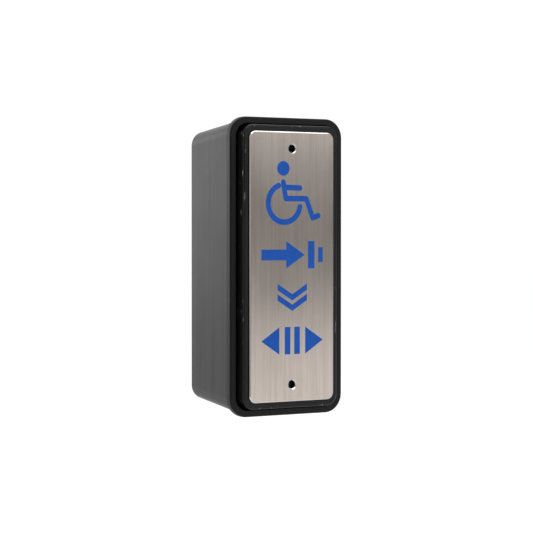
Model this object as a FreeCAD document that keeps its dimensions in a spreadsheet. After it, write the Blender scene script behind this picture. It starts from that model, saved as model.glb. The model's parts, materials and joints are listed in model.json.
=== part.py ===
"""Pedestrian push button: jamb-width push plate in a surface box, with its switch inside.

Frame: +Z up, +X to the right of a person who faces the plate, -Y out of the wall. The origin is
the middle of the box's rear face, which lies on the wall. A level is a distance out of the wall,
so a point at level L has y = -L. Sizes are in millimetres.
"""
import FreeCAD, Part

import math
import operator
import os
from types import SimpleNamespace

import Sketcher

PARTS = "parts"
ORIGIN_POINT = (-1, 1)
X_AXIS, Y_AXIS = -1, -2

# ---------------------------------------------------------------------------------------------
# Driving dimensions
# ---------------------------------------------------------------------------------------------

DIMENSIONS = {
    # face plate: 1 3/4 x 4 3/4 in less its fitting allowance, 16 gauge stainless steel
    "plate_width": 44.2, "plate_height": 120.05, "plate_thickness": 1.5, "plate_corner": 3.2,
    "plate_edge": 0.42, "plate_front": 48.0, "key_hole_radius": 1.8, "screw_spacing": 105.1,
    "enamel_depth": 0.3, "adhesive_thickness": 0.5, "adhesive_inset": 1.0,
    "adhesive_hole_radius": 4.0,
    # surface box
    "lip_width": 59.0, "lip_height": 133.0, "lip_corner": 8.5, "lip_front": 43.5,
    "lip_thickness": 3.1, "lip_round": 0.7, "lip_projection": 1.5, "box_corner": 6.7,
    "box_draft": 3.5, "rear_round": 0.4, "mouth_edge": 0.3, "floor_thickness": 3.0, "mouth_width": 52.8,
    "mouth_height": 126.8, "mouth_corner": 6.0, "mouth_depth": 7.5, "mouth_draft": 0.15,
    "cavity_width": 49.2, "cavity_height": 123.2, "cavity_corner": 3.7,
    "pillar_radius": 5.5, "pillar_top": 20.0, "post_radius": 4.0, "post_top": 30.5,
    "post_x": 15.5, "post_z": 36.0, "slot_spacing": 83.3, "slot_length": 8.0,
    "slot_radius": 2.2, "cable_z": -24.0,
    # button block
    "block_width": 49.4, "block_height": 126.0, "block_corner": 5.2, "block_round": 0.9,
    "recess_edge": 0.1, "block_front": 47.0, "block_back": 39.0, "block_wall": 2.2, "block_web": 2.0,
    "plate_gap": 0.15, "bush_boss_radius": 6.0, "head_shelf": 40.0, "boss_end": 32.0,
    "head_bore_radius": 4.0, "stub_radius": 3.2, "stub_end": 34.0, "middle_boss_radius": 5.0,
    "middle_boss_end": 37.5, "rib_thickness": 1.6, "rib_end": 40.5,
    # shoulder screws and what runs on them
    "head_radius": 3.5, "head_height": 3.0, "head_edge": 0.4, "socket_flats": 2.5, "socket_depth": 1.8,
    "shoulder_radius": 2.5, "thread_radius": 2.0, "thread_end": 11.0, "running_gap": 0.05,
    "bush_radius": 3.5, "flange_radius": 5.0, "flange_thickness": 1.0,
    "insert_radius": 2.8, "insert_length": 8.0, "washer_thickness": 0.8, "washer_bore": 2.65,
    "wire_radius": 0.45, "coil_radius": 3.7, "coil_pitch": 2.0, "coil_gap": 0.05,
    # stop pads
    "stop_pad_radius": 3.0, "stop_pad_thickness": 2.0, "stop_pad_seat": 1.0,
    "stop_pad_round": 0.4,
    # adjuster in the block's middle boss
    "adjuster_top": 43.0, "adjuster_tip": 33.92, "adjuster_cone": 1.4, "adjuster_point": 0.6,
    "adjuster_nut_flats": 7.0, "adjuster_nut_thickness": 2.2,
    # snap-action switch
    "switch_length": 27.8, "switch_height": 15.9, "switch_thickness": 10.3,
    "switch_z": 8.5, "switch_front": 30.0, "cover_thickness": 1.8, "switch_round": 0.8,
    "switch_hole_radius": 1.55, "hole_pitch_z": 22.2, "hole_pitch_level": 10.3,
    "hole_inset": 2.5, "chamber_low": 0.0, "chamber_high": 17.0, "chamber_wall": 1.5,
    "chamber_floor": 2.0, "chamber_side": 1.5,
    "plunger_radius": 1.6, "plunger_tip": 33.2, "plunger_z": 13.0, "plunger_foot_radius": 2.3,
    "plunger_foot": 1.0, "plunger_end": 26.4,
    "lever_pivot_z": 20.0, "lever_pivot_level": 33.53, "lever_thickness": 0.5,
    "lever_width": 4.0, "lever_end_z": -4.0, "barrel_radius": 1.6, "pin_radius": 0.8,
    "ear_gap": 0.3, "ear_radius": 1.9,
    "terminal_width": 4.75, "terminal_thickness": 0.8, "terminal_tip": 7.7,
    "common_z": 16.0, "open_z": 8.0, "closed_z": 0.9, "strip_level": 24.9,
    "strip_thickness": 0.3, "strip_width": 4.0, "contact_z": 3.4, "contact_radius": 1.2,
    # bracket and fasteners
    "bracket_thickness": 1.5, "bracket_foot": 6.0, "bracket_reach": 18.0, "bracket_top": 29.0,
    "bracket_low": -5.0, "bracket_high": 22.0, "foot_screw_x": 13.0, "foot_screw_low": 0.0,
    "foot_screw_high": 17.0, "foot_boss_radius": 4.0, "small_thread_radius": 1.5,
    "small_hole_radius": 1.7, "small_head_radius": 2.8, "small_head_height": 2.2,
    "small_head_round": 0.9, "small_recess": 1.0, "small_insert_radius": 2.3, "small_insert_length": 4.5,
    "small_nut_flats": 5.5, "small_nut_thickness": 2.4, "screw_overrun": 1.0,
    # cable grommet
    "grommet_bore": 3.25, "grommet_neck": 6.5, "grommet_flange": 9.0, "grommet_rim": 1.5,
    "grommet_setback": 0.2, "grommet_round": 0.5,
    # pictograms
    "stroke": 2.5, "symbol_x": 0.5, "symbol_z": 32.8, "row_height": 12.2, "row_width": 32.4,
    "top_row_z": 5.3, "middle_row_z": -13.6, "bottom_row_z": -32.9,
}


class Size:
    """A length that carries its value and the sheet formula that gives it."""

    def __init__(self, value, formula):
        self.value = value
        self.formula = formula

    def join(self, other, sign, work, swap=False):
        other = as_size(other)
        first, second = (other, self) if swap else (self, other)
        formula = f"({first.formula} {sign} {second.formula})"
        return Size(work(first.value, second.value), formula)

    def __add__(self, other):
        return self.join(other, "+", operator.add)

    def __radd__(self, other):
        return self.join(other, "+", operator.add, swap=True)

    def __sub__(self, other):
        return self.join(other, "-", operator.sub)

    def __rsub__(self, other):
        return self.join(other, "-", operator.sub, swap=True)

    def __mul__(self, other):
        return self.join(other, "*", operator.mul)

    def __rmul__(self, other):
        return self.join(other, "*", operator.mul, swap=True)

    def __truediv__(self, other):
        return self.join(other, "/", operator.truediv)

    def __neg__(self):
        return Size(-self.value, f"(0 - {self.formula})")


def as_size(number):
    return number if isinstance(number, Size) else Size(float(number), f"{float(number):g}")


def make_sheet(doc):
    """Put each driving dimension in a cell with an alias, and return them as Size objects."""
    sheet = doc.addObject("Spreadsheet::Sheet", "sizes")
    for row, (name, value) in enumerate(DIMENSIONS.items(), start=1):
        sheet.set(f"A{row}", name)
        sheet.set(f"B{row}", str(value))
        sheet.setAlias(f"B{row}", name)
    doc.recompute()
    return SimpleNamespace(**{name: Size(value, f"sizes.{name}") for name, value in DIMENSIONS.items()})


doc = FreeCAD.newDocument("pedestrian_push_button")
s = make_sheet(doc)

# ---------------------------------------------------------------------------------------------
# Shared builders. On the wall plane a feature's own x, y and z are X, Z and the level. On the
# side plane they are Y, Z and X.
# ---------------------------------------------------------------------------------------------

WALL, SIDE, LEVEL = "XZ_Plane", "YZ_Plane", "XY_Plane"
TOUCH = 1e-4


def bind(item, prop, size):
    item.setExpression(prop, as_size(size).formula)


def new_body(label):
    body = doc.addObject("PartDesign::Body", label)
    body.AllowCompound = True
    return body


def origin_plane(body, role):
    return next(item for item in body.Origin.OriginFeatures if item.Role == role)


def attach(item, body, role, x=0, y=0, z=0, turn=0):
    """Attach to one of the body's own planes, offset by bound amounts and turned in the plane."""
    item.AttachmentSupport = [(origin_plane(body, role), "")]
    item.MapMode = "FlatFace"
    turned = FreeCAD.Rotation(FreeCAD.Vector(0, 0, 1), turn)
    item.AttachmentOffset = FreeCAD.Placement(FreeCAD.Vector(0, 0, 0), turned)
    for axis, amount in zip("xyz", (x, y, z)):
        bind(item, f"AttachmentOffset.Base.{axis}", amount)
    return item


def primitive(body, kind, cut, role, x, y, z, turn=0, **sizes):
    prefix = "Subtractive" if cut else "Additive"
    item = body.newObject(f"PartDesign::{prefix}{kind}", kind.lower())
    attach(item, body, role, x, y, z, turn)
    for prop, size in sizes.items():
        bind(item, prop, size)
    return item


def cylinder(body, radius, start, end, x=0, y=0, role=WALL, cut=False):
    height = as_size(end) - start
    return primitive(body, "Cylinder", cut, role, x, y, start, Radius=radius, Height=height)


def cone(body, start_radius, end_radius, start, end, x=0, y=0, role=WALL, cut=False):
    height = as_size(end) - start
    return primitive(body, "Cone", cut, role, x, y, start,
                     Radius1=start_radius, Radius2=end_radius, Height=height)


def block(body, width, depth, start, end, x=0, y=0, role=WALL, cut=False):
    """A box centred on x and y of its plane, from start to end along the plane's normal."""
    corner_x, corner_y = as_size(x) - as_size(width) / 2, as_size(y) - as_size(depth) / 2
    height = as_size(end) - start
    return primitive(body, "Box", cut, role, corner_x, corner_y, start,
                     Length=width, Width=depth, Height=height)


def hexagon(body, flats, start, end, x=0, y=0, role=WALL, cut=False):
    height = as_size(end) - start
    item = primitive(body, "Prism", cut, role, x, y, start,
                     Circumradius=as_size(flats) / math.sqrt(3), Height=height)
    item.Polygon = 6
    return item


def new_sketch(body, name, role=WALL, level=0):
    sketch = body.newObject("Sketcher::SketchObject", name)
    return attach(sketch, body, role, z=level)


def constrain(sketch, name, size, kind, *elements):
    index = sketch.addConstraint(Sketcher.Constraint(kind, *elements, as_size(size).value))
    sketch.renameConstraint(index, name)
    bind(sketch, f"Constraints.{name}", size)


def rounded_rectangle(sketch, width, height, corner):
    """A rectangle about the sketch's origin with four equal tangent corners."""
    half_w, half_h, radius = (as_size(size).value for size in (width / 2, height / 2, corner))
    x, y = half_w - radius, half_h - radius
    normal = FreeCAD.Vector(0, 0, 1)

    def line(start, end):
        sketch.addGeometry(Part.LineSegment(FreeCAD.Vector(*start, 0), FreeCAD.Vector(*end, 0)))

    def arc(centre, first_quarter):
        circle = Part.Circle(FreeCAD.Vector(*centre, 0), normal, radius)
        start = first_quarter * math.pi / 2
        sketch.addGeometry(Part.ArcOfCircle(circle, start, start + math.pi / 2))

    line((-x, half_h), (x, half_h))
    arc((x, y), 0)
    line((half_w, y), (half_w, -y))
    arc((x, -y), 3)
    line((x, -half_h), (-x, -half_h))
    arc((-x, -y), 2)
    line((-half_w, -y), (-half_w, y))
    arc((-x, y), 1)
    top, right, bottom, left = 0, 2, 4, 6
    for edge, next_edge in ((top, right), (right, bottom), (bottom, left), (left, top)):
        turn = edge + 1
        sketch.addConstraint(Sketcher.Constraint("Tangent", edge, 2, turn, 2))
        sketch.addConstraint(Sketcher.Constraint("Tangent", turn, 1, next_edge, 1))
    for edge, direction in ((top, "Horizontal"), (bottom, "Horizontal"),
                            (left, "Vertical"), (right, "Vertical")):
        sketch.addConstraint(Sketcher.Constraint(direction, edge))
    for turn in (3, 5, 7):
        sketch.addConstraint(Sketcher.Constraint("Equal", 1, turn))
    sketch.addConstraint(Sketcher.Constraint("Symmetric", 1, 3, 5, 3, *ORIGIN_POINT))
    constrain(sketch, "width", width, "DistanceX", left, 1, right, 1)
    constrain(sketch, "height", height, "DistanceY", bottom, 1, top, 1)
    constrain(sketch, "corner", corner, "Radius", 1)
    return sketch


def polygon(sketch, points):
    """A closed outline whose corners are each tied to the origin by two bound distances."""
    first = sketch.GeometryCount
    corners = [(as_size(x), as_size(y)) for x, y in points]
    for (x0, y0), (x1, y1) in zip(corners, corners[1:] + corners[:1]):
        start, end = FreeCAD.Vector(x0.value, y0.value, 0), FreeCAD.Vector(x1.value, y1.value, 0)
        sketch.addGeometry(Part.LineSegment(start, end))
    last = first + len(corners) - 1
    for edge in range(first, last + 1):
        next_edge = first if edge == last else edge + 1
        sketch.addConstraint(Sketcher.Constraint("Coincident", edge, 2, next_edge, 1))
        for direction, size, axis in zip("XY", corners[edge - first], (Y_AXIS, X_AXIS)):
            if size.value == 0:
                sketch.addConstraint(Sketcher.Constraint("PointOnObject", edge, 1, axis))
            else:
                constrain(sketch, f"{direction.lower()}{edge}", size, f"Distance{direction}",
                          *ORIGIN_POINT, edge, 1)
    return sketch


def pad(body, sketch, length, symmetric=False):
    item = body.newObject("PartDesign::Pad", "pad")
    item.Profile = sketch
    item.SideType = "Symmetric" if symmetric else "One side"
    bind(item, "Length", length)
    return item


def pocket(body, sketch, length):
    """Cut from the sketch towards the wall."""
    item = body.newObject("PartDesign::Pocket", "pocket")
    item.Profile = sketch
    bind(item, "Length", length)
    return item


def loft(body, sketches, cut=False):
    item = body.newObject(f"PartDesign::{'Subtractive' if cut else 'Additive'}Loft", "loft")
    item.Profile = sketches[0]
    item.Sections = sketches[1:]
    item.Ruled = True
    return item


def outline_loft(body, name, ends, cut=False):
    """Join two rounded rectangles, each given as width, height, corner and level."""
    sketches = []
    for index, (width, height, corner, level) in enumerate(ends):
        sketch = new_sketch(body, f"{name}_{index}", level=level)
        sketches.append(rounded_rectangle(sketch, width, height, corner))
    return loft(body, sketches, cut)


def edge_names(body, wanted):
    """Names of the edges of the body so far for which wanted(edge) is true."""
    doc.recompute()
    return [f"Edge{index}" for index, edge in enumerate(body.Shape.Edges, start=1) if wanted(edge)]


def is_flat_at(edge, axis, place):
    """True for an edge that lies in the plane where this axis, X, Y or Z, has this value."""
    box = edge.BoundBox
    ends = getattr(box, f"{axis}Min"), getattr(box, f"{axis}Max")
    return all(abs(end - place) < TOUCH for end in ends)


def lies_at(edge, level):
    return is_flat_at(edge, "Y", -as_size(level).value)


def is_within(edge, half_width, half_height):
    box = edge.BoundBox
    return box.XMax < half_width.value + TOUCH and box.ZMax < half_height.value + TOUCH


def dress(body, kind, names, prop, size):
    """Fillet or chamfer the named edges of the body so far."""
    base = body.Tip
    item = body.newObject(f"PartDesign::{kind}", kind.lower())
    item.Base = (base, names)
    bind(item, prop, size)
    return item


def mirror_all(body, role):
    """Mirror the whole body so far in one of its own planes."""
    item = body.newObject("PartDesign::Mirrored", "mirrored")
    item.TransformMode = "Whole shape"
    item.MirrorPlane = (origin_plane(body, role), [""])
    body.Tip = item
    return item


def repeat_along(body, axis_role, length, count):
    """Repeat the whole body so far along one of its own axes."""
    item = body.newObject("PartDesign::LinearPattern", "pattern")
    item.TransformMode = "Whole shape"
    item.Direction = (origin_plane(body, axis_role), [""])
    item.Occurrences = count
    bind(item, "Length", length)
    body.Tip = item
    return item


# ---------------------------------------------------------------------------------------------
# Levels and places that several pieces share
# ---------------------------------------------------------------------------------------------

screw_z = s.screw_spacing / 2
plate_back = s.plate_front - s.plate_thickness
adhesive_back = plate_back - s.adhesive_thickness
web_back = adhesive_back - s.block_web
lip_back = s.lip_front - s.lip_thickness
ledge = s.lip_front - s.mouth_depth
washer_top = s.pillar_top + s.washer_thickness
flange_back = s.boss_end - s.flange_thickness
head_back = s.head_shelf + s.running_gap
foot_top = s.bracket_foot + s.bracket_thickness
switch_back = s.switch_front - s.switch_height
case_right = s.switch_thickness / 2 - s.cover_thickness
case_left = -(s.switch_thickness / 2)
chamber_top = s.switch_front - s.chamber_wall
chamber_bottom = switch_back + s.chamber_floor
ear_inside = s.lever_width / 2 + s.ear_gap
contact_top = s.strip_level + s.strip_thickness + 2 * s.strip_thickness
SWITCH_HOLES = (
    (s.switch_z - s.hole_pitch_z / 2, s.switch_front - s.hole_inset - s.hole_pitch_level),
    (s.switch_z + s.hole_pitch_z / 2, s.switch_front - s.hole_inset),
)
POSTS = [(side_x * s.post_x, side_z * s.post_z) for side_x in (-1, 1) for side_z in (-1, 1)]
FOOT_SCREWS = ((s.foot_screw_x, s.foot_screw_low), (s.foot_screw_x, s.foot_screw_high))


# ---------------------------------------------------------------------------------------------
# Housing: the surface box and what is fixed in it
# ---------------------------------------------------------------------------------------------

def make_back_box():
    """Drafted shell with a projecting lip, pillars for the button and posts for the stop pads."""
    body = new_body("back_box")
    front_width = s.lip_width - 2 * s.lip_projection
    front_height = s.lip_height - 2 * s.lip_projection
    rear_width, rear_height = front_width - 2 * s.box_draft, front_height - 2 * s.box_draft
    outline_loft(body, "shell", [(rear_width, rear_height, s.box_corner, as_size(0)),
                                 (front_width, front_height, s.box_corner, lip_back)])
    lip = rounded_rectangle(new_sketch(body, "lip", level=lip_back),
                            s.lip_width, s.lip_height, s.lip_corner)
    pad(body, lip, s.lip_thickness)
    outer = edge_names(body, lambda edge: lies_at(edge, s.lip_front))
    dress(body, "Fillet", outer, "Radius", s.lip_round)
    rear = edge_names(body, lambda edge: lies_at(edge, 0))
    dress(body, "Fillet", rear, "Radius", s.rear_round)

    mouth_end = (s.mouth_width - 2 * s.mouth_draft, s.mouth_height - 2 * s.mouth_draft,
                 s.mouth_corner - s.mouth_draft, ledge)
    outline_loft(body, "mouth", [(s.mouth_width, s.mouth_height, s.mouth_corner, s.lip_front),
                                 mouth_end], cut=True)
    inner = edge_names(body, lambda edge: lies_at(edge, s.lip_front)
                       and is_within(edge, s.mouth_width / 2, s.mouth_height / 2))
    dress(body, "Chamfer", inner, "Size", s.mouth_edge)
    draft = s.box_draft * (ledge - s.floor_thickness) / lip_back
    cavity_end = (s.cavity_width - 2 * draft, s.cavity_height - 2 * draft, s.cavity_corner,
                  s.floor_thickness)
    outline_loft(body, "cavity", [(s.cavity_width, s.cavity_height, s.cavity_corner, ledge),
                                  cavity_end], cut=True)

    for side in (-1, 1):
        z = side * screw_z
        cylinder(body, s.pillar_radius, s.floor_thickness, s.pillar_top, y=z)
        cylinder(body, s.insert_radius, s.thread_end, s.pillar_top, y=z, cut=True)
        add_wall_slot(body, side * s.slot_spacing / 2)
    for x, z in POSTS:
        cylinder(body, s.post_radius, s.floor_thickness, s.post_top, x=x, y=z)
        cylinder(body, s.stop_pad_radius, s.post_top - s.stop_pad_seat, s.post_top,
                 x=x, y=z, cut=True)
    for x, z in FOOT_SCREWS:
        cylinder(body, s.foot_boss_radius, s.floor_thickness, s.bracket_foot, x=x, y=z)
        cylinder(body, s.small_insert_radius, s.bracket_foot - s.small_insert_length,
                 s.bracket_foot, x=x, y=z, cut=True)

    rim_end = s.grommet_setback + s.grommet_rim
    cylinder(body, s.grommet_flange + s.grommet_setback, 0, rim_end, y=s.cable_z, cut=True)
    cylinder(body, s.grommet_neck, 0, s.floor_thickness, y=s.cable_z, cut=True)
    return body


def add_wall_slot(body, z):
    """A slot through the floor that runs along Z, for one wall screw."""
    straight = s.slot_length - 2 * s.slot_radius
    block(body, 2 * s.slot_radius, straight, 0, s.floor_thickness, y=z, cut=True)
    for side in (-1, 1):
        cylinder(body, s.slot_radius, 0, s.floor_thickness, y=z + side * straight / 2, cut=True)


def make_threaded_inserts():
    """Brass inserts pressed into the pillars."""
    body = new_body("threaded_inserts")
    start = s.pillar_top - s.insert_length
    cylinder(body, s.insert_radius, start, s.pillar_top, y=screw_z)
    cylinder(body, s.thread_radius, start, s.pillar_top, y=screw_z, cut=True)
    mirror_all(body, LEVEL)
    return body


def make_shoulder_screws():
    """Socket head shoulder screws: the button slides on their shoulders."""
    body = new_body("shoulder_screws")
    head_front = head_back + s.head_height
    cylinder(body, s.thread_radius, s.thread_end, s.pillar_top, y=screw_z)
    cylinder(body, s.shoulder_radius, s.pillar_top, head_back, y=screw_z)
    cylinder(body, s.head_radius, head_back, head_front, y=screw_z)
    rim = edge_names(body, lambda edge: lies_at(edge, head_front))
    dress(body, "Chamfer", rim, "Size", s.head_edge)
    hexagon(body, s.socket_flats, head_front - s.socket_depth, head_front, y=screw_z, cut=True)
    mirror_all(body, LEVEL)
    return body


def make_spring_washers():
    """Flat washers that seat the return springs on the pillars."""
    body = new_body("spring_washers")
    cylinder(body, s.flange_radius, s.pillar_top, washer_top, y=screw_z)
    cylinder(body, s.washer_bore, s.pillar_top, washer_top, y=screw_z, cut=True)
    mirror_all(body, LEVEL)
    return body


def make_return_springs():
    """Two compression springs, from the washers to the flanges of the guide bushes."""
    body = new_body("return_springs")
    start = washer_top + s.wire_radius + s.coil_gap
    end = flange_back - s.wire_radius - s.coil_gap
    wire = new_sketch(body, "wire", role=LEVEL, level=-screw_z)
    centre = FreeCAD.Vector(s.coil_radius.value, -start.value, 0)
    wire.addGeometry(Part.Circle(centre, FreeCAD.Vector(0, 0, 1), s.wire_radius.value))
    constrain(wire, "radius", s.wire_radius, "Radius", 0)
    constrain(wire, "reach", s.coil_radius, "DistanceX", *ORIGIN_POINT, 0, 3)
    constrain(wire, "level", -start, "DistanceY", *ORIGIN_POINT, 0, 3)
    coil = body.newObject("PartDesign::AdditiveHelix", "coil")
    coil.Profile = wire
    coil.ReferenceAxis = (wire, ["V_Axis"])
    coil.Mode = "pitch-height-angle"
    coil.Reversed = True
    bind(coil, "Pitch", s.coil_pitch)
    bind(coil, "Height", end - start)
    repeat_along(body, "Z_Axis", s.screw_spacing, 2)
    return body


def make_stop_pads():
    """Rubber pads in the tops of the four posts."""
    body = new_body("stop_pads")
    start = s.post_top - s.stop_pad_seat
    for x, z in POSTS:
        cylinder(body, s.stop_pad_radius, start, start + s.stop_pad_thickness, x=x, y=z)
    rims = edge_names(body, lambda edge: lies_at(edge, start + s.stop_pad_thickness))
    dress(body, "Fillet", rims, "Radius", s.stop_pad_round)
    return body


def make_cable_grommet():
    """Rubber grommet in the rear wall, the way in for the field cable."""
    body = new_body("cable_grommet")
    rim_end = s.grommet_setback + s.grommet_rim
    front = s.floor_thickness + s.grommet_rim
    cylinder(body, s.grommet_flange, s.grommet_setback, rim_end, y=s.cable_z)
    cylinder(body, s.grommet_neck, rim_end, s.floor_thickness, y=s.cable_z)
    cylinder(body, s.grommet_flange, s.floor_thickness, front, y=s.cable_z)
    rims = edge_names(body, lambda edge: lies_at(edge, front) or lies_at(edge, s.grommet_setback))
    dress(body, "Fillet", rims, "Radius", s.grommet_round)
    cylinder(body, s.grommet_bore, s.grommet_setback, front, y=s.cable_z, cut=True)
    return body


# ---------------------------------------------------------------------------------------------
# Switch bracket and its fasteners
# ---------------------------------------------------------------------------------------------

def make_switch_bracket():
    """Bent steel angle: the foot lies on two bosses and the upright carries the switch."""
    body = new_body("switch_bracket")
    left = s.switch_thickness / 2
    right = left + s.bracket_thickness
    profile = new_sketch(body, "profile", role=LEVEL, level=s.bracket_low)
    polygon(profile, [(left, -s.bracket_foot), (left, -s.bracket_top), (right, -s.bracket_top),
                      (right, -foot_top), (s.bracket_reach, -foot_top),
                      (s.bracket_reach, -s.bracket_foot)])
    pad(body, profile, s.bracket_high - s.bracket_low)
    outer_bend = edge_names(body, lambda edge: is_upright_at(edge, left, s.bracket_foot))
    dress(body, "Fillet", outer_bend, "Radius", s.bracket_thickness)
    for x, z in FOOT_SCREWS:
        cylinder(body, s.small_hole_radius, s.bracket_foot, foot_top, x=x, y=z, cut=True)
    for z, level in SWITCH_HOLES:
        cylinder(body, s.small_hole_radius, left, right, x=-level, y=z, role=SIDE, cut=True)
    return body


def is_upright_at(edge, x, level):
    """True for a straight edge along Z at this x and level."""
    return is_flat_at(edge, "X", x.value) and lies_at(edge, level)


def make_bracket_inserts():
    body = new_body("bracket_inserts")
    for x, z in FOOT_SCREWS:
        start = s.bracket_foot - s.small_insert_length
        cylinder(body, s.small_insert_radius, start, s.bracket_foot, x=x, y=z)
        cylinder(body, s.small_thread_radius, start, s.bracket_foot, x=x, y=z, cut=True)
    return body


def add_pan_head_screws(body, places, head_side, tip, role):
    """Pan head screws along the plane's normal, with round tops and cross recesses."""
    direction = 1 if tip.value > head_side.value else -1
    head_top = head_side - direction * s.small_head_height
    recess_end = head_top + direction * s.small_recess
    shank, head, recess = (ends if direction > 0 else ends[::-1] for ends in (
        (head_side, tip), (head_top, head_side), (head_top, recess_end)))
    for x, y in places:
        cylinder(body, s.small_thread_radius, *shank, x=x, y=y, role=role)
        cylinder(body, s.small_head_radius, *head, x=x, y=y, role=role)
    axis, place = ("X", head_top.value) if role == SIDE else ("Y", -head_top.value)
    tops = edge_names(body, lambda edge: is_flat_at(edge, axis, place))
    dress(body, "Fillet", tops, "Radius", s.small_head_round)
    blade, reach = s.small_thread_radius / 2, s.small_head_radius * 1.2
    for x, y in places:
        block(body, blade, reach, *recess, x=x, y=y, role=role, cut=True)
        block(body, reach, blade, *recess, x=x, y=y, role=role, cut=True)


def make_bracket_screws():
    body = new_body("bracket_screws")
    tip = s.bracket_foot - s.small_insert_length + s.screw_overrun
    add_pan_head_screws(body, FOOT_SCREWS, foot_top, tip, WALL)
    return body


def make_switch_screws():
    body = new_body("switch_screws")
    nut_face = s.switch_thickness / 2 + s.bracket_thickness
    tip = nut_face + s.small_nut_thickness + s.screw_overrun
    add_pan_head_screws(body, [(-level, z) for z, level in SWITCH_HOLES], case_left, tip, SIDE)
    return body


def make_switch_nuts():
    body = new_body("switch_nuts")
    start = s.switch_thickness / 2 + s.bracket_thickness
    end = start + s.small_nut_thickness
    for z, level in SWITCH_HOLES:
        hexagon(body, s.small_nut_flats, start, end, x=-level, y=z, role=SIDE)
        cylinder(body, s.small_thread_radius, start, end, x=-level, y=z, role=SIDE, cut=True)
    return body


# ---------------------------------------------------------------------------------------------
# Snap-action switch
# ---------------------------------------------------------------------------------------------

def switch_slab(body, left, right):
    """A slab of the switch's outline between two values of X, with its two screw holes."""
    block(body, right - left, s.switch_length, switch_back, s.switch_front,
          x=(left + right) / 2, y=s.switch_z)
    corners = edge_names(body, lambda edge: edge.BoundBox.XLength > TOUCH)
    dress(body, "Fillet", corners, "Radius", s.switch_round)
    for z, level in SWITCH_HOLES:
        cylinder(body, s.switch_hole_radius, left, right, x=-level, y=z, role=SIDE, cut=True)


def make_switch_case():
    """Moulded case, open to +X, with a plunger hole and two ears for the lever's pin."""
    body = new_body("switch_case")
    switch_slab(body, case_left, case_right)
    chamber_left = case_left + s.chamber_side
    block(body, case_right - chamber_left, s.chamber_high - s.chamber_low, chamber_bottom,
          chamber_top, x=(chamber_left + case_right) / 2,
          y=(s.chamber_low + s.chamber_high) / 2, cut=True)
    cylinder(body, s.plunger_radius + s.running_gap, chamber_top, s.switch_front,
             y=s.plunger_z, cut=True)
    for z in (s.common_z, s.open_z, s.closed_z):
        block(body, s.terminal_width, s.terminal_thickness, switch_back, chamber_bottom,
              y=z, cut=True)
    ear_outside = case_right
    for inside, outside in ((ear_inside, ear_outside), (-ear_outside, -ear_inside)):
        block(body, outside - inside, 2 * s.ear_radius, s.switch_front, s.lever_pivot_level,
              x=(inside + outside) / 2, y=s.lever_pivot_z)
        cylinder(body, s.ear_radius, inside, outside, x=-s.lever_pivot_level,
                 y=s.lever_pivot_z, role=SIDE)
        cylinder(body, s.pin_radius, inside, outside, x=-s.lever_pivot_level,
                 y=s.lever_pivot_z, role=SIDE, cut=True)
    return body


def make_switch_cover():
    body = new_body("switch_cover")
    switch_slab(body, case_right, s.switch_thickness / 2)
    return body


def terminal_blade(label, z, top):
    """A blade that comes out of the back of the switch, with a hole for the wire."""
    body = new_body(label)
    block(body, s.terminal_width, s.terminal_thickness, s.terminal_tip, top, y=z)
    hole_level = s.terminal_tip + s.terminal_width / 2
    half = s.terminal_thickness / 2
    cylinder(body, s.terminal_thickness, z - half, z + half, y=-hole_level, role=LEVEL, cut=True)
    return body


def make_common_terminal():
    return terminal_blade("common_terminal", s.common_z, s.strip_level)


def make_normally_closed_terminal():
    """Its arm reaches over the moving contact, which rests against it."""
    arm_level = contact_top + 2 * s.strip_thickness
    arm_end = s.contact_z + s.contact_radius
    arm_start = s.closed_z - s.terminal_thickness / 2
    top = arm_level + s.terminal_thickness
    body = terminal_blade("normally_closed_terminal", s.closed_z, top)
    block(body, s.strip_width, arm_end - arm_start, arm_level, top, y=(arm_start + arm_end) / 2)
    cylinder(body, s.contact_radius, contact_top, arm_level, y=s.contact_z)
    return body


def make_normally_open_terminal():
    """Its arm holds the contact that closes when the switch trips."""
    arm_end = s.open_z + s.terminal_thickness / 2
    arm_start = s.contact_z - s.contact_radius
    contact_level = s.strip_level - 4 * s.strip_thickness
    top = contact_level - 2 * s.strip_thickness
    body = terminal_blade("normally_open_terminal", s.open_z, top)
    block(body, s.strip_width, arm_end - arm_start, top - s.terminal_thickness, top,
          y=(arm_start + arm_end) / 2)
    cylinder(body, s.contact_radius, top, contact_level, y=s.contact_z)
    return body


def make_contact_strip():
    """Sprung strip on the common terminal, with the moving contact at its free end."""
    body = new_body("contact_strip")
    start = s.contact_z - s.contact_radius
    end = s.common_z + s.terminal_thickness / 2
    top = s.strip_level + s.strip_thickness
    block(body, s.strip_width, end - start, s.strip_level, top, y=(start + end) / 2)
    cylinder(body, s.contact_radius, s.strip_level - 2 * s.strip_thickness, contact_top,
             y=s.contact_z)
    return body


def make_lever_pin():
    body = new_body("lever_pin")
    cylinder(body, s.pin_radius, -case_right, case_right, x=-s.lever_pivot_level,
             y=s.lever_pivot_z, role=SIDE)
    return body


def make_switch_lever():
    """Flat steel lever, rolled round the pin at one end."""
    body = new_body("switch_lever")
    half_width, half = s.lever_width / 2, s.lever_thickness / 2
    arm_end = s.lever_pivot_z - s.barrel_radius + s.lever_thickness
    block(body, s.lever_width, arm_end - s.lever_end_z, s.lever_pivot_level - half,
          s.lever_pivot_level + half, y=(arm_end + s.lever_end_z) / 2)
    cylinder(body, s.barrel_radius, -half_width, half_width, x=-s.lever_pivot_level,
             y=s.lever_pivot_z, role=SIDE)
    cylinder(body, s.pin_radius + s.running_gap, -half_width, half_width,
             x=-s.lever_pivot_level, y=s.lever_pivot_z, role=SIDE, cut=True)
    return body


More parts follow.
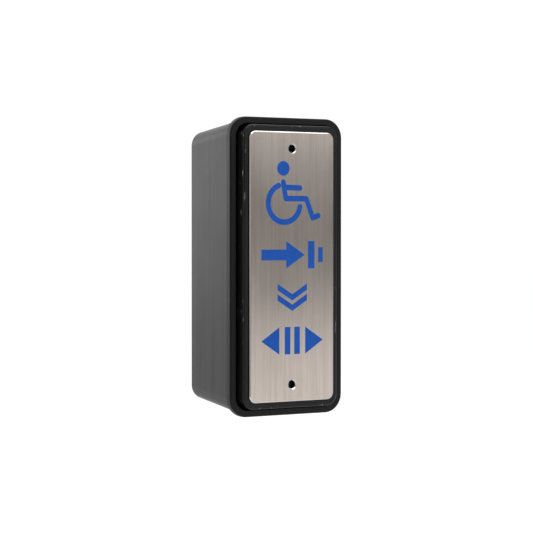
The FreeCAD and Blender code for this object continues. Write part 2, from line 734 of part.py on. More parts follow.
def make_switch_plunger():
    """Plunger with a foot that keeps it in the case."""
    body = new_body("switch_plunger")
    foot_top_level = chamber_top - 2 * s.running_gap
    cylinder(body, s.plunger_radius, s.plunger_end, s.plunger_tip, y=s.plunger_z)
    tip = edge_names(body, lambda edge: lies_at(edge, s.plunger_tip))
    dress(body, "Fillet", tip, "Radius", s.switch_round)
    cylinder(body, s.plunger_foot_radius, foot_top_level - s.plunger_foot, foot_top_level,
             y=s.plunger_z)
    return body


# ---------------------------------------------------------------------------------------------
# Button: the moulded block, the plate on it and the adjuster behind it
# ---------------------------------------------------------------------------------------------

def make_button_block():
    """Tray with a recess for the plate, bosses for the bushes and stubs that meet the pads."""
    body = new_body("button_block")
    outline = rounded_rectangle(new_sketch(body, "outline", level=s.block_back),
                                s.block_width, s.block_height, s.block_corner)
    pad(body, outline, s.block_front - s.block_back)
    rim = edge_names(body, lambda edge: lies_at(edge, s.block_front))
    dress(body, "Fillet", rim, "Radius", s.block_round)

    recess = rounded_rectangle(new_sketch(body, "recess", level=s.block_front),
                               s.plate_width + 2 * s.plate_gap,
                               s.plate_height + 2 * s.plate_gap, s.plate_corner + s.plate_gap)
    pocket(body, recess, s.block_front - adhesive_back)
    lip = edge_names(body, lambda edge: lies_at(edge, s.block_front) and is_within(
        edge, s.plate_width / 2 + s.plate_gap, s.plate_height / 2 + s.plate_gap))
    dress(body, "Chamfer", lip, "Size", s.recess_edge)
    hollow = rounded_rectangle(new_sketch(body, "hollow", level=web_back),
                               s.block_width - 2 * s.block_wall,
                               s.block_height - 2 * s.block_wall,
                               s.block_corner - s.block_wall)
    pocket(body, hollow, web_back - s.block_back)

    rib_start, rib_end = s.middle_boss_radius, screw_z - s.bush_boss_radius
    for side in (-1, 1):
        cylinder(body, s.bush_boss_radius, s.boss_end, web_back, y=side * screw_z)
        block(body, s.rib_thickness, rib_end - rib_start + 2 * s.rib_thickness, s.rib_end,
              web_back, y=side * (rib_start + rib_end) / 2)
    cylinder(body, s.middle_boss_radius, s.middle_boss_end, web_back)
    for side in (-1, 1):
        block(body, s.block_width - 2 * s.block_wall + s.rib_thickness, s.rib_thickness,
              s.rib_end, web_back, y=side * s.post_z)
    for x, z in POSTS:
        cylinder(body, s.stub_radius, s.stub_end, web_back, x=x, y=z)
    for side in (-1, 1):
        cylinder(body, s.head_bore_radius, s.head_shelf, adhesive_back, y=side * screw_z, cut=True)
        cylinder(body, s.bush_radius, s.boss_end, s.head_shelf, y=side * screw_z, cut=True)
    cylinder(body, s.insert_radius, s.middle_boss_end, s.adjuster_top, cut=True)
    return body


def make_guide_bushes():
    """Flanged bushes pressed into the block, a running fit on the shoulder screws."""
    body = new_body("guide_bushes")
    cylinder(body, s.flange_radius, flange_back, s.boss_end, y=screw_z)
    cylinder(body, s.bush_radius, s.boss_end, s.head_shelf, y=screw_z)
    cylinder(body, s.shoulder_radius + s.running_gap, flange_back, s.head_shelf,
             y=screw_z, cut=True)
    mirror_all(body, LEVEL)
    return body


def make_adjuster_insert():
    body = new_body("adjuster_insert")
    cylinder(body, s.insert_radius, s.middle_boss_end, s.adjuster_top)
    cylinder(body, s.thread_radius, s.middle_boss_end, s.adjuster_top, cut=True)
    return body


def make_adjuster_screw():
    """Cone point set screw; its point stands just clear of the lever."""
    body = new_body("adjuster_screw")
    cone_top = s.adjuster_tip + s.adjuster_cone
    cone(body, s.adjuster_point, s.thread_radius, s.adjuster_tip, cone_top)
    cylinder(body, s.thread_radius, cone_top, s.adjuster_top)
    return body


def make_adjuster_nut():
    body = new_body("adjuster_nut")
    start = s.middle_boss_end - s.adjuster_nut_thickness
    hexagon(body, s.adjuster_nut_flats, start, s.middle_boss_end)
    cylinder(body, s.thread_radius, start, s.middle_boss_end, cut=True)
    return body


def make_plate_adhesive():
    body = new_body("plate_adhesive")
    corner = s.plate_corner - s.adhesive_inset
    sheet = rounded_rectangle(new_sketch(body, "outline", level=adhesive_back),
                              s.plate_width - 2 * s.adhesive_inset,
                              s.plate_height - 2 * s.adhesive_inset, corner)
    pad(body, sheet, s.adhesive_thickness)
    for side in (-1, 1):
        cylinder(body, s.adhesive_hole_radius, adhesive_back, plate_back,
                 y=side * screw_z, cut=True)
    return body


def make_plate_blank():
    """The plate before its graphics are etched, with the two key holes."""
    body = new_body("plate_blank")
    outline = rounded_rectangle(new_sketch(body, "outline", level=plate_back),
                                s.plate_width, s.plate_height, s.plate_corner)
    pad(body, outline, s.plate_thickness)
    for side in (-1, 1):
        cylinder(body, s.key_hole_radius, plate_back, s.plate_front, y=side * screw_z, cut=True)
    rims = edge_names(body, lambda edge: lies_at(edge, s.plate_front))
    dress(body, "Chamfer", rims, "Size", s.plate_edge)
    return body


# ---------------------------------------------------------------------------------------------
# Graphics: shapes filled with enamel in the etched plate, flush with its face
# ---------------------------------------------------------------------------------------------

enamel_back = s.plate_front - s.enamel_depth


def stroke_point(point):
    """A point given in stroke widths from the symbol's centre, as bound lengths."""
    return s.symbol_x + point[0] * s.stroke, s.symbol_z + point[1] * s.stroke


def dot(body, centre, radius, cut=False):
    """A disc of the symbol, with its radius in stroke widths."""
    x, y = stroke_point(centre)
    cylinder(body, radius * s.stroke, enamel_back, s.plate_front, x=x, y=y, cut=cut)


def bar(body, start, end):
    """A round-ended bar one stroke wide, between two points given in stroke widths."""
    run_x, run_y = end[0] - start[0], end[1] - start[1]
    length = math.hypot(run_x, run_y)
    corner = (start[0] + run_y / length / 2, start[1] - run_x / length / 2)
    x, y = stroke_point(corner)
    primitive(body, "Box", False, WALL, x, y, enamel_back,
              turn=math.degrees(math.atan2(run_y, run_x)),
              Length=length * s.stroke, Width=s.stroke, Height=s.enamel_depth)
    for point in (start, end):
        dot(body, point, 0.5)


def open_ring(body, centre, radius, first_angle, sweep):
    """A ring one stroke wide with a gap in it, and round ends each side of the gap."""
    x, y = stroke_point(centre)
    sector = primitive(body, "Cylinder", False, WALL, x, y, enamel_back, turn=first_angle,
                       Radius=radius * s.stroke, Height=s.enamel_depth)
    sector.Angle = sweep
    dot(body, centre, radius - 1, cut=True)
    for angle in (math.radians(first_angle), math.radians(first_angle + sweep)):
        reach = radius - 0.5
        dot(body, (centre[0] + reach * math.cos(angle), centre[1] + reach * math.sin(angle)), 0.5)


def make_access_symbol():
    """A seated figure with a wheel, drawn with round-ended bars."""
    body = new_body("access_symbol")
    open_ring(body, (-1.9, -1.85), 3.85, first_angle=110, sweep=240)
    shoulder, hip, knee = (-2.1, 1.9), (-1.6, -1.0), (2.75, -1.0)
    ankle, toe, elbow, hand = (4.1, -4.4), (5.3, -4.0), (-1.95, 1.0), (1.4, 0.9)
    for start, end in ((shoulder, hip), (hip, knee), (knee, ankle), (ankle, toe), (elbow, hand)):
        bar(body, start, end)
    head, head_radius = (-2.1, 4.35), 1.3
    dot(body, head, head_radius)
    return body


def row_block(body, width, height, x, z):
    block(body, width, height, enamel_back, s.plate_front, x=x, y=z)


def add_press_row(body, shapes, half_w, half_h):
    """An arrow that points at a button: a tall bar with a short stem behind it."""
    z, half_shaft = s.top_row_z, s.stroke * 0.95
    neck, point, bar_x = half_w * -0.2, half_w * 0.4, half_w * 0.62
    polygon(shapes, [(-half_w, z - half_shaft), (neck, z - half_shaft), (neck, z - half_h),
                     (point, z), (neck, z + half_h), (neck, z + half_shaft),
                     (-half_w, z + half_shaft)])
    row_block(body, s.stroke * 1.4, s.row_height, bar_x, z)
    row_block(body, s.stroke, s.row_height * 0.55, half_w - s.stroke / 2, z)


def add_chevron_row(shapes, half_w, half_h):
    """Two chevrons that point down, one above the other."""
    half_row, rise, thick = half_w * 0.48, half_h * 0.62, half_h * 0.46
    for step in (-1, 1):
        z = s.middle_row_z + step * (half_h - rise)
        polygon(shapes, [(-half_row, z + rise), (as_size(0), z - rise + thick),
                         (half_row, z + rise), (half_row, z + rise - thick),
                         (as_size(0), z - rise), (-half_row, z + rise - thick)])


def add_door_row(body, shapes, half_w, half_h):
    """Two door leaves with an arrow beyond each, pointing away from the middle."""
    z, leaf_width = s.bottom_row_z, s.stroke * 1.2
    for side in (-1, 1):
        tip, base = side * half_w, side * half_w * 0.42
        polygon(shapes, [(base, z - half_h), (base, z + half_h), (tip, z)])
        row_block(body, leaf_width, s.row_height, side * s.stroke, z)


def make_legend_symbols():
    """Three rows of plain signs that show what the button does."""
    body = new_body("legend_symbols")
    half_w, half_h = s.row_width / 2, s.row_height / 2
    shapes = new_sketch(body, "outlines", level=enamel_back)
    add_chevron_row(shapes, half_w, half_h)
    add_press_row(body, shapes, half_w, half_h)
    add_door_row(body, shapes, half_w, half_h)
    pad(body, shapes, s.enamel_depth)
    return body


def make_face_plate(graphics):
    """The blank with the graphics etched into it."""
    blank = make_plate_blank()
    etching = doc.addObject("Part::Compound", "etching")
    etching.Links = graphics
    plate = doc.addObject("Part::Cut", "face_plate")
    plate.Base = blank
    plate.Tool = etching
    return plate


# ---------------------------------------------------------------------------------------------
# Build, check and write
# ---------------------------------------------------------------------------------------------

def build():
    graphics = [make_access_symbol(), make_legend_symbols()]
    return graphics + [
        make_face_plate(graphics),
        make_plate_adhesive(),
        make_button_block(),
        make_guide_bushes(),
        make_adjuster_insert(),
        make_adjuster_screw(),
        make_adjuster_nut(),
        make_back_box(),
        make_threaded_inserts(),
        make_shoulder_screws(),
        make_spring_washers(),
        make_return_springs(),
        make_stop_pads(),
        make_cable_grommet(),
        make_switch_bracket(),
        make_bracket_inserts(),
        make_bracket_screws(),
        make_switch_screws(),
        make_switch_nuts(),
        make_switch_case(),
        make_switch_cover(),
        make_common_terminal(),
        make_normally_closed_terminal(),
        make_normally_open_terminal(),
        make_contact_strip(),
        make_lever_pin(),
        make_switch_lever(),
        make_switch_plunger(),
    ]


def check(sub_parts):
    """Stop if any object failed, or if any sub-part is empty or not valid."""
    for item in doc.Objects:
        if "Invalid" in item.State or "Error" in item.State:
            raise RuntimeError(f"{item.Name} failed: {item.State}")
    for item in sub_parts:
        shape = item.Shape
        if shape.isNull() or not shape.isValid() or not shape.Solids or shape.Volume <= 0:
            raise RuntimeError(f"{item.Label} has no valid solid")


def write(sub_parts):
    os.makedirs(PARTS, exist_ok=True)
    for item in sub_parts:
        item.Shape.exportStep(os.path.join(PARTS, f"{item.Label}.step"))
        print(f"{item.Label:26s} {len(item.Shape.Solids)} solid(s) {item.Shape.Volume:10.1f} mm3")


sub_parts = build()
doc.recompute()
check(sub_parts)
write(sub_parts)
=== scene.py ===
"""Looks of a pedestrian push button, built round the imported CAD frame. Metres, +Z up, -Y out of the wall."""

import json
import math

import bmesh
import bpy
from mathutils import Matrix, Vector


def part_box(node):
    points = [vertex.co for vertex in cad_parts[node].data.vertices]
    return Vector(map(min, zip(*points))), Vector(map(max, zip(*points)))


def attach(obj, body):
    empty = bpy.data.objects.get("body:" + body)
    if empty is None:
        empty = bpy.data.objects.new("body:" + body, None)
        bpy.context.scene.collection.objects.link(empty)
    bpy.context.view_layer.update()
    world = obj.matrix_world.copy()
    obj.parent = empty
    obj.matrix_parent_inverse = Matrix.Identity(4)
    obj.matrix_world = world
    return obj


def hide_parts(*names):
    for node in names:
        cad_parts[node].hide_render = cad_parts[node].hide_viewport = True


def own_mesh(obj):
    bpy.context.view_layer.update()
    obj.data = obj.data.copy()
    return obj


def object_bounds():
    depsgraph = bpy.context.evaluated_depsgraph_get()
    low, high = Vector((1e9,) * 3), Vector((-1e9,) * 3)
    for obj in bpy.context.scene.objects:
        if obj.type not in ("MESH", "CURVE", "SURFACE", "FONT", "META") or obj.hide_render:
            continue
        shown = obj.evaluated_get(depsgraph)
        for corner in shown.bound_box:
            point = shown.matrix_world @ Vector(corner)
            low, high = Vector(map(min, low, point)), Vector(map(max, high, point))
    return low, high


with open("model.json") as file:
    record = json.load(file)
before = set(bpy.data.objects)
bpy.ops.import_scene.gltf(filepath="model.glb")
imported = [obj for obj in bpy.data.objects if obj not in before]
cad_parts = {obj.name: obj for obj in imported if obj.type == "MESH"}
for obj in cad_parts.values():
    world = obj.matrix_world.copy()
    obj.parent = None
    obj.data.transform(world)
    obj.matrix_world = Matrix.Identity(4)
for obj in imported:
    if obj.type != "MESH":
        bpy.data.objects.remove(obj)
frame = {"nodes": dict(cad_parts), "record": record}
cad_low, cad_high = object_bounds()
scene = bpy.context.scene
MM = 0.001


# ---------------------------------------------------------------------------------------------
# Camera
# ---------------------------------------------------------------------------------------------

CAMERA_PLACE = Vector((-0.4531, -0.7586, 0.0175))
CAMERA_YAW, CAMERA_PITCH, CAMERA_ROLL = math.radians(31.74), -0.02065, 0.0003
CAMERA_LENS, SENSOR_WIDTH = 127.84, 36.0


def make_camera():
    data = bpy.data.cameras.new("camera")
    data.lens = CAMERA_LENS
    data.sensor_width = SENSOR_WIDTH
    camera = bpy.data.objects.new("camera", data)
    flat = math.cos(CAMERA_PITCH)
    forward = Vector((math.sin(CAMERA_YAW) * flat, math.cos(CAMERA_YAW) * flat, math.sin(CAMERA_PITCH)))
    turn = forward.to_track_quat("-Z", "Y").to_matrix() @ Matrix.Rotation(CAMERA_ROLL, 3, "Z")
    camera.matrix_world = Matrix.Translation(CAMERA_PLACE) @ turn.to_4x4()
    scene.collection.objects.link(camera)
    scene.camera = camera


# ---------------------------------------------------------------------------------------------
# Materials
# ---------------------------------------------------------------------------------------------

class Shader:
    """A new material with its Principled BSDF, and short ways to add and join nodes."""

    def __init__(self, name, **settings):
        self.material = bpy.data.materials.new(name)
        self.material.use_nodes = True
        self.nodes = self.material.node_tree.nodes
        self.links = self.material.node_tree.links
        self.surface = next(node for node in self.nodes if node.type == "BSDF_PRINCIPLED")
        for socket, value in settings.items():
            self.surface.inputs[socket.replace("_", " ")].default_value = value
        coordinates = self.nodes.new("ShaderNodeTexCoord")
        self.place, self.normal = coordinates.outputs["Object"], coordinates.outputs["Normal"]

    def join(self, source, target):
        self.links.new(source, target)

    def stretched(self, scale, slant=0.0):
        """Object coordinates in metres, turned about Y and then times a scale for each axis."""
        node = self.nodes.new("ShaderNodeMapping")
        node.vector_type = "TEXTURE"
        node.inputs["Rotation"].default_value = (0.0, slant, 0.0)
        node.inputs["Scale"].default_value = [1.0 / size for size in scale]
        self.join(self.place, node.inputs["Vector"])
        return node.outputs["Vector"]

    def noise(self, scale, detail=3.0, roughness=0.55, offset=0.0, slant=0.0):
        """Noise from 0 to 1 whose scale is given for each axis, in cells per metre."""
        node = self.nodes.new("ShaderNodeTexNoise")
        node.noise_dimensions = "4D"
        node.inputs["W"].default_value = offset
        node.inputs["Scale"].default_value = 1.0
        node.inputs["Detail"].default_value = detail
        node.inputs["Roughness"].default_value = roughness
        self.join(self.stretched(scale, slant), node.inputs["Vector"])
        return node.outputs["Fac"]

    def remap(self, source, low, high, to_low, to_high):
        node = self.nodes.new("ShaderNodeMapRange")
        node.inputs["From Min"].default_value = low
        node.inputs["From Max"].default_value = high
        node.inputs["To Min"].default_value = to_low
        node.inputs["To Max"].default_value = to_high
        self.join(source, node.inputs["Value"])
        return node.outputs["Result"]

    def work(self, operation, first, second):
        node = self.nodes.new("ShaderNodeMath")
        node.operation = operation
        for socket, value in zip(node.inputs, (first, second)):
            if isinstance(value, (int, float)):
                socket.default_value = value
            else:
                self.join(value, socket)
        return node.outputs["Value"]

    def mean(self, first, second):
        return self.work("MULTIPLY", self.work("ADD", first, second), 0.5)

    def amount(self, vector, axis):
        """The size of one component of a vector."""
        node = self.nodes.new("ShaderNodeSeparateXYZ")
        self.join(vector, node.inputs["Vector"])
        return self.work("ABSOLUTE", node.outputs[axis], 0.0)

    def near_outline(self, node_name, reach):
        """1 at the left, right, top and bottom of a CAD node, falling to 0 within a short reach."""
        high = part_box(node_name)[1]
        shares = []
        for axis, half in (("X", high.x), ("Z", high.z)):
            distance = self.amount(self.place, axis)
            shares.append(self.remap(distance, half - reach, half - 0.4 * reach, 0.0, 1.0))
        return self.work("MAXIMUM", *shares)

    def blend_colours(self, factor, first, second):
        node = self.nodes.new("ShaderNodeMix")
        node.data_type = "RGBA"
        self.join(factor, node.inputs["Factor"])
        for socket, colour in zip((node.inputs[6], node.inputs[7]), (first, second)):
            if isinstance(colour, tuple):
                socket.default_value = (*colour, 1.0)
            else:
                self.join(colour, socket)
        return node.outputs[2]

    def bump(self, height, distance, strength=1.0, over=None):
        node = self.nodes.new("ShaderNodeBump")
        node.inputs["Distance"].default_value = distance
        node.inputs["Strength"].default_value = strength
        self.join(height, node.inputs["Height"])
        if over:
            self.join(over, node.inputs["Normal"])
        return node.outputs["Normal"]

    def finish(self, colour=None, roughness=None, normal=None):
        for socket, source in (("Base Color", colour), ("Roughness", roughness), ("Normal", normal)):
            if source:
                self.join(source, self.surface.inputs[socket])
        return self.material


WARM_SHEEN = (1.0, 0.955, 0.98, 1.0)
SCUFF_COLOUR, SCUFF_REACH = (0.46, 0.44, 0.42), 1.4 * MM


def moulded_plastic(name, dark, light, roughness, grain=2600.0, grain_depth=0.010 * MM, ior=1.5,
                    side_highlight_and_streaks=None, scuffed_rim=None, scuffs=0.0):
    """Moulded plastic: a fine eroded texture and flow streaks along Z.

    side_highlight_and_streaks is the colour of a painted side highlight: the faces that look along X get this
    lighter colour, broken up by the flow streaks and strongest towards the rear, standing in for
    the light those sides catch. scuffed_rim names the CAD node whose outline has small light rub
    marks, and scuffs says how strong they are.
    """
    shader = Shader(name, IOR=ior, Specular_Tint=WARM_SHEEN)
    streaks = shader.noise((300.0, 300.0, 6.0), detail=4.0)
    cloud = shader.noise((38.0, 38.0, 30.0), offset=4.0)
    tone = shader.mean(streaks, cloud)
    colour = shader.blend_colours(shader.remap(tone, 0.38, 0.62, 0.0, 1.0), dark, light)
    gloss = shader.remap(tone, 0.35, 0.65, roughness - 0.05, roughness + 0.05)
    if side_highlight_and_streaks:
        # painted side highlight: faces that look along X are painted lighter, mixed with the flow streaks,
        # strongest at the rear
        sides = shader.remap(shader.amount(shader.normal, "X"), 0.85, 0.97, 0.0, 1.0)
        rearward = shader.remap(shader.amount(shader.place, "Y"), 0.0, -cad_low.y, 1.0, 0.4)
        side_highlight_streak_mask = shader.work("MULTIPLY", shader.work("MULTIPLY", sides, rearward),
                            shader.remap(streaks, 0.38, 0.62, 0.40, 1.0))
        colour = shader.blend_colours(side_highlight_streak_mask, colour, side_highlight_and_streaks)
    if scuffed_rim:
        dashes = shader.remap(shader.noise((900.0, 900.0, 150.0), offset=6.0), 0.62, 0.68, 0.0, scuffs)
        patches = shader.remap(shader.noise((60.0, 60.0, 40.0), offset=8.0), 0.48, 0.58, 0.0, 1.0)
        rubbed = shader.work("MULTIPLY", dashes, patches)
        marks = shader.work("MULTIPLY", rubbed, shader.near_outline(scuffed_rim, SCUFF_REACH))
        colour = shader.blend_colours(marks, colour, SCUFF_COLOUR)
    fine = shader.bump(shader.noise((grain,) * 3, detail=2.0), grain_depth)
    lines = shader.bump(streaks, 0.020 * MM, over=fine)
    return shader.finish(colour, gloss, lines)


# CUT_WALL_PAINTED_SHADE is painted shade: a dark colour for the shade inside the holes and on the plate's
# edges
BRIGHT_BEVEL, CUT_WALL_PAINTED_SHADE, SCRATCH = (0.76, 0.73, 0.70), (0.13, 0.12, 0.11), (0.74, 0.68, 0.63)
SCRATCH_SLANT = math.radians(24)


def brushed_metal(name, dark, light, roughness):
    """Sheet metal whose face, square to Y, is brushed along Z and lightly scratched.

    Its bevels are bright, and its cut walls, inside the holes and along the plate's edges, are painted dark as
    shade.
    """
    shader = Shader(name, Metallic=1.0, Anisotropic=0.9)
    hair = shader.noise((7000.0, 7000.0, 45.0), detail=4.0, roughness=0.7)
    lines = shader.noise((1500.0, 1500.0, 40.0), detail=4.0, roughness=0.6, offset=2.0)
    bands = shader.noise((600.0, 600.0, 11.0), offset=5.0)
    cloud = shader.noise((34.0, 34.0, 26.0), detail=4.0, offset=9.0)
    tone = shader.mean(shader.mean(hair, lines), shader.mean(bands, cloud))
    brushed = shader.blend_colours(shader.remap(tone, 0.43, 0.57, 0.0, 1.0), dark, light)
    slanted = shader.noise((2600.0, 2600.0, 22.0), detail=1.0, offset=11.0, slant=SCRATCH_SLANT)
    handled = shader.remap(shader.noise((60.0, 60.0, 50.0), offset=12.0), 0.50, 0.60, 0.0, 1.0)
    scratches = shader.work("MULTIPLY", shader.remap(slanted, 0.66, 0.72, 0.0, 0.8), handled)
    face = shader.blend_colours(scratches, brushed, SCRATCH)
    facing = shader.amount(shader.normal, "Y")
    bevelled = shader.blend_colours(shader.remap(facing, 0.75, 0.92, 1.0, 0.0), face, BRIGHT_BEVEL)
    # painted shade: faces that turn away from Y, the hole walls and plate edges, are painted dark
    colour = shader.blend_colours(shader.remap(facing, 0.30, 0.50, 1.0, 0.0), bevelled, CUT_WALL_PAINTED_SHADE)
    gloss = shader.remap(shader.mean(lines, cloud), 0.35, 0.65, roughness - 0.02, roughness + 0.02)
    across = shader.nodes.new("ShaderNodeTangent")
    across.direction_type = "RADIAL"
    across.axis = "Z"
    shader.join(across.outputs["Tangent"], shader.surface.inputs["Tangent"])
    return shader.finish(colour, gloss, shader.bump(shader.mean(hair, lines), 0.0015 * MM))


def plain_metal(name, dark, light, roughness, metallic=1.0):
    """Turned or stamped metal with a slight stain and small dents in its plating."""
    shader = Shader(name, Metallic=metallic)
    stain = shader.noise((260.0,) * 3, detail=5.0)
    colour = shader.blend_colours(shader.remap(stain, 0.35, 0.65, 0.0, 1.0), dark, light)
    gloss = shader.remap(stain, 0.3, 0.7, roughness - 0.06, roughness + 0.08)
    dents = shader.noise((3500.0,) * 3, detail=2.0, offset=7.0)
    return shader.finish(colour, gloss, shader.bump(dents, 0.004 * MM))


def enamel(name, dark, light, roughness):
    """Enamel filled into an etched pocket, with slight ripples and tone changes."""
    shader = Shader(name, IOR=1.3)
    cloud = shader.noise((300.0,) * 3, detail=4.0)
    colour = shader.blend_colours(shader.remap(cloud, 0.35, 0.65, 0.0, 1.0), dark, light)
    gloss = shader.remap(cloud, 0.3, 0.7, roughness - 0.05, roughness + 0.05)
    ripple = shader.noise((2200.0,) * 3, detail=3.0, offset=3.0)
    return shader.finish(colour, gloss, shader.bump(ripple, 0.006 * MM))


def make_materials():
    return {
        "box_plastic": moulded_plastic(
            "box_plastic", (0.0025, 0.0025, 0.0028), (0.0045, 0.0044, 0.0047), 0.34, ior=1.31,
            # side_highlight_and_streaks: the box's painted side highlight colour
            side_highlight_and_streaks=(0.044, 0.0395, 0.041), scuffed_rim="back_box", scuffs=0.30),
        "block_plastic": moulded_plastic(
            "block_plastic", (0.002, 0.002, 0.0022), (0.0035, 0.0035, 0.0038), 0.32, ior=1.37,
            # side_highlight_and_streaks: the block's painted side highlight colour
            side_highlight_and_streaks=(0.027, 0.025, 0.0255), scuffed_rim="button_block", scuffs=0.75),
        "brushed_stainless": brushed_metal(
            "brushed_stainless", (0.58, 0.512, 0.463), (0.73, 0.647, 0.587), 0.30),
        "blue_enamel": enamel("blue_enamel", (0.003, 0.086, 0.445), (0.005, 0.098, 0.495), 0.45),
        "foam_tape": moulded_plastic("foam_tape", (0.62, 0.62, 0.58), (0.72, 0.72, 0.68), 0.85),
        "insert_brass": plain_metal("insert_brass", (0.62, 0.43, 0.16), (0.74, 0.54, 0.24), 0.30),
        "plated_steel": plain_metal("plated_steel", (0.56, 0.57, 0.58), (0.68, 0.69, 0.70), 0.28),
        "spring_steel": plain_metal("spring_steel", (0.42, 0.43, 0.44), (0.54, 0.55, 0.56), 0.32),
        "bush_acetal": moulded_plastic("bush_acetal", (0.74, 0.73, 0.68), (0.82, 0.81, 0.76), 0.45),
        "black_rubber": moulded_plastic("black_rubber", (0.014, 0.014, 0.014), (0.022, 0.022, 0.022), 0.75),
        "bracket_steel": plain_metal("bracket_steel", (0.46, 0.48, 0.49), (0.60, 0.61, 0.62), 0.45),
        "switch_moulding": moulded_plastic(
            "switch_moulding", (0.03, 0.03, 0.032), (0.045, 0.045, 0.048), 0.50),
        "cover_moulding": moulded_plastic("cover_moulding", (0.26, 0.06, 0.035), (0.34, 0.08, 0.05), 0.50),
        "plunger_red": moulded_plastic("plunger_red", (0.48, 0.025, 0.02), (0.58, 0.035, 0.03), 0.32),
        "contact_bronze": plain_metal("contact_bronze", (0.52, 0.34, 0.16), (0.64, 0.44, 0.24), 0.30),
        "terminal_brass": plain_metal("terminal_brass", (0.66, 0.56, 0.32), (0.78, 0.68, 0.44), 0.30),
    }


def paint_nodes(materials):
    """Give each CAD node the material of its slot."""
    for part in frame["record"]["subparts"]:
        node = frame["nodes"][part["node"]]
        material = materials[part["material_slot"]]
        for socket in node.material_slots:
            socket.material = material


# ---------------------------------------------------------------------------------------------
# Return springs
# ---------------------------------------------------------------------------------------------

SPRING_WIRE = 0.45 * MM
SPRING_TURNS, CLOSED_TURNS, OPENING_TURNS = 6.0, 1.0, 0.5
RINGS_PER_TURN, RING_POINTS = 40, 12
GROUND_AWAY = 0.38 * MM
SHARP_EDGE = math.radians(40)


def smooth(value):
    value = min(max(value, 0.0), 1.0)
    return value * value * (3.0 - 2.0 * value)


def spring_rises(length):
    """The step along the spring from each ring of the wire to the next, closed at both ends."""
    rings = round(SPRING_TURNS * RINGS_PER_TURN)
    opened = []
    for ring in range(rings):
        from_end = min(ring, rings - 1 - ring) / RINGS_PER_TURN
        opened.append(smooth((from_end - CLOSED_TURNS) / OPENING_TURNS))
    closed_step = 2.0 * SPRING_WIRE / RINGS_PER_TURN
    spare = length - 2.0 * (SPRING_WIRE - GROUND_AWAY) - closed_step * rings
    return [closed_step + spare * share / sum(opened) for share in opened]


def make_return_spring(name, middle, radius, near, far, material):
    """A compression spring along Y between two levels, with its ends closed and ground flat."""
    mesh = bmesh.new()
    level = near + SPRING_WIRE - GROUND_AWAY
    rings = []
    for index, rise in enumerate([0.0] + spring_rises(far - near)):
        level += rise
        turn = math.tau * index / RINGS_PER_TURN
        outward = Vector((math.cos(turn), 0.0, math.sin(turn)))
        ring = []
        for point in range(RING_POINTS):
            around = math.tau * point / RING_POINTS
            spot = middle + outward * (radius + SPRING_WIRE * math.cos(around))
            spot.y = min(max(level + SPRING_WIRE * math.sin(around), near), far)
            ring.append(mesh.verts.new(spot))
        rings.append(ring)
    for ring, next_ring in zip(rings, rings[1:]):
        for point in range(RING_POINTS):
            after = (point + 1) % RING_POINTS
            mesh.faces.new((ring[point], ring[after], next_ring[after], next_ring[point]))
    mesh.faces.new(rings[0])
    mesh.faces.new(rings[-1])
    bmesh.ops.recalc_face_normals(mesh, faces=mesh.faces)
    for face in mesh.faces:
        face.smooth = True
    data = bpy.data.meshes.new(name)
    mesh.to_mesh(data)
    mesh.free()
    data.set_sharp_from_angle(angle=SHARP_EDGE)
    data.materials.append(material)
    spring = bpy.data.objects.new(name, data)
    scene.collection.objects.link(spring)
    return spring


def make_return_springs(material):
    """The springs stand on their washers and are fixed to the housing."""
    cad_spring_low, cad_spring_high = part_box("return_springs")
    outer_radius = cad_spring_high.x
    middle_z = cad_spring_high.z - outer_radius
    washer_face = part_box("spring_washers")[0].y
    bush_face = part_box("guide_bushes")[1].y
    for side, place in (("upper", middle_z), ("lower", -middle_z)):
        spring = make_return_spring(side + "_return_spring", Vector((0.0, 0.0, place)),
                                    outer_radius - SPRING_WIRE, bush_face, washer_face, material)
        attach(spring, "housing")
        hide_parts("return_springs")
        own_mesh(spring)


# ---------------------------------------------------------------------------------------------
# Studio
# ---------------------------------------------------------------------------------------------

FLOOR_DROP = 0.20
FLOOR_LOW, FLOOR_HIGH = Vector((-0.8, -1.6)), Vector((14.0, 16.0))
FLOOR_GLOW_REACH, FLOOR_GLOW = (0.70, 1.0), 0.54
FLOOR_DARK, FLOOR_LIGHT = (0.74,) * 3, (0.78,) * 3
BACKDROP_STRENGTH = 1.05
BACKDROP_SIDE, UPWARD = Vector((-0.525, 0.851, 0.0)), Vector((0.0, 0.0, 1.0))


def make_floor():
    mesh = bpy.data.meshes.new("studio_floor")
    level = cad_low.z - FLOOR_DROP
    corners = [(FLOOR_LOW.x, FLOOR_LOW.y, level), (FLOOR_HIGH.x, FLOOR_LOW.y, level),
               (FLOOR_HIGH.x, FLOOR_HIGH.y, level), (FLOOR_LOW.x, FLOOR_HIGH.y, level)]
    mesh.from_pydata(corners, [], [(0, 1, 2, 3)])
    floor = bpy.data.objects.new("studio_floor", mesh)
    scene.collection.objects.link(floor)
    shader = Shader("floor_paint", Roughness=0.9, Specular_IOR_Level=0.0)
    shader.surface.inputs["Emission Color"].default_value = (1.0, 1.0, 1.0, 1.0)
    away = shader.nodes.new("ShaderNodeVectorMath")
    away.operation = "LENGTH"
    shader.join(shader.place, away.inputs[0])
    glow = shader.remap(away.outputs["Value"], *FLOOR_GLOW_REACH, 0.0, FLOOR_GLOW)
    shader.join(glow, shader.surface.inputs["Emission Strength"])
    mottle = shader.noise((6.0,) * 3)
    floor.data.materials.append(shader.finish(shader.blend_colours(mottle, FLOOR_DARK, FLOOR_LIGHT)))


def make_softbox(name, place, aim, size, power):
    data = bpy.data.lights.new(name, "AREA")
    data.shape = "RECTANGLE"
    data.size, data.size_y = size
    data.energy = power
    lamp = bpy.data.objects.new(name, data)
    direction = Vector(aim) - Vector(place)
    lamp.matrix_world = Matrix.Translation(place) @ direction.to_track_quat("-Z", "Y").to_matrix().to_4x4()
    lamp.visible_camera = False
    scene.collection.objects.link(lamp)


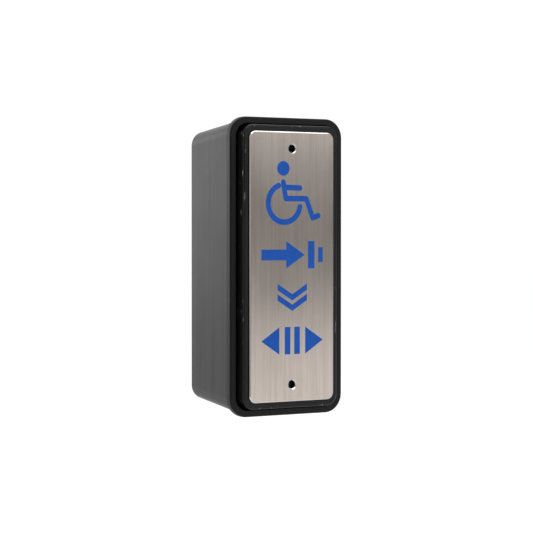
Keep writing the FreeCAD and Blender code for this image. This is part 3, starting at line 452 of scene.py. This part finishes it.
def make_world():
    """White all round to the camera. As light, it is brighter behind the object than in front of
    it, and brighter above the horizon than below it.
    """
    world = bpy.data.worlds.new("studio")
    scene.world = world
    world.use_nodes = True
    nodes, links = world.node_tree.nodes, world.node_tree.links
    nodes.clear()

    def graded(direction, start, end, low, high):
        """A factor that goes smoothly from low to high along a direction of the sky."""
        along = nodes.new("ShaderNodeVectorMath")
        along.operation = "DOT_PRODUCT"
        along.inputs[1].default_value = direction
        links.new(nodes.new("ShaderNodeTexCoord").outputs["Generated"], along.inputs[0])
        level = nodes.new("ShaderNodeMapRange")
        level.interpolation_type = "SMOOTHSTEP"
        for socket, value in zip(("From Min", "From Max", "To Min", "To Max"), (start, end, low, high)):
            level.inputs[socket].default_value = value
        links.new(along.outputs["Value"], level.inputs["Value"])
        return level.outputs["Result"]

    both = nodes.new("ShaderNodeMath")
    both.operation = "MULTIPLY"
    links.new(graded(BACKDROP_SIDE, -0.3, 0.9, 0.31, 1.32), both.inputs[0])
    links.new(graded(UPWARD, -0.13, 0.10, 0.32, 1.0), both.inputs[1])
    seen, lit = (nodes.new("ShaderNodeBackground") for _ in range(2))
    for background in (seen, lit):
        background.inputs["Color"].default_value = (1.0, 1.0, 1.0, 1.0)
    seen.inputs["Strength"].default_value = BACKDROP_STRENGTH
    links.new(both.outputs["Value"], lit.inputs["Strength"])
    choose = nodes.new("ShaderNodeMixShader")
    links.new(nodes.new("ShaderNodeLightPath").outputs["Is Camera Ray"], choose.inputs["Fac"])
    links.new(lit.outputs[0], choose.inputs[1])
    links.new(seen.outputs[0], choose.inputs[2])
    out = nodes.new("ShaderNodeOutputWorld")
    links.new(choose.outputs[0], out.inputs["Surface"])


def make_studio():
    make_floor()
    make_world()
    make_softbox("overhead_softbox", (0.15, -0.15, 1.2), (0.05, 0, 0), (1.9, 1.0), 14.0)
    make_softbox("low_front_card", (0.62, -1.05, -0.131), (0, 0, -0.02), (0.9, 0.10), 0.26)
    make_softbox("high_front_softbox", (0.62, -1.05, 0.385), (0, 0, 0.02), (1.0, 0.5), 2.1)
    make_softbox("rear_side_softbox", (-0.35, 0.56, 0.11), (0, 0.02, 0.0), (0.8, 0.30), 0.60)
    scene.view_settings.view_transform = "Standard"
    scene.view_settings.look = "None"


# ---------------------------------------------------------------------------------------------
# Build
# ---------------------------------------------------------------------------------------------

make_camera()
make_studio()
materials = make_materials()
paint_nodes(materials)
make_return_springs(materials["spring_steel"])
